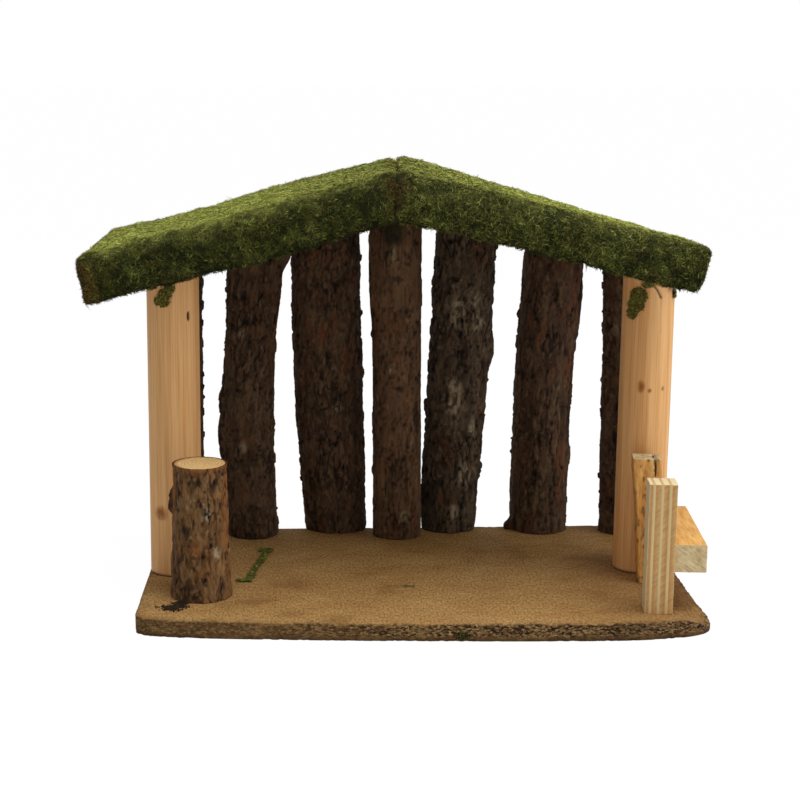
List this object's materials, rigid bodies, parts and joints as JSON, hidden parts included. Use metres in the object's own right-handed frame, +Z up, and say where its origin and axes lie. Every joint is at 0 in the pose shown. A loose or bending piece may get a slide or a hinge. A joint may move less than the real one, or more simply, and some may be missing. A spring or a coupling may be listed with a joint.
{
  "type": "nativity stable",
  "caption": "Open-fronted wooden nativity stable with a moss-covered gable roof, a bark-log back wall, round posts, a log stump and a rail fence on a flat base.",
  "frame": {"origin": "middle of the base board's flat underside", "axes": "+Z up from the surface that it stands on, +X along the gable front to the viewer's right, +Y from the open front to the log wall at the back"},
  "size_m": [0.4254, 0.238, 0.3036],
  "materials": {
    "chipboard": "raw pressed chipboard, brown and dull",
    "pine_bark": "rough furrowed bark",
    "peeled_pine": "smooth turned pine, unfinished",
    "moss": "dense dried moss pile",
    "plywood": "sawn plywood edges",
    "split_pine": "rough split softwood",
    "sawn_spruce": "rough sawn softwood",
    "nail_steel": "bright wire nails"
  },
  "bodies": {
    "root": {"back_log_1": "pine_bark", "back_log_2": "pine_bark", "back_log_3": "pine_bark", "back_log_4": "pine_bark", "back_log_5": "pine_bark", "back_log_6": "pine_bark", "back_log_7": "pine_bark", "base_board": "chipboard", "base_nails": "nail_steel", "fence_rail": "sawn_spruce", "fence_upright_ply": "plywood", "fence_upright_split": "split_pine", "moss_strand": "moss", "moss_tuft_left": "moss", "moss_tuft_right": "moss", "post_left": "peeled_pine", "post_right": "peeled_pine", "rail_nails": "nail_steel", "roof_board_left": "chipboard", "roof_board_right": "chipboard", "roof_moss_left": "moss", "roof_moss_right": "moss", "roof_nails": "nail_steel", "stump_log": "pine_bark"}
  },
  "joints": []
}
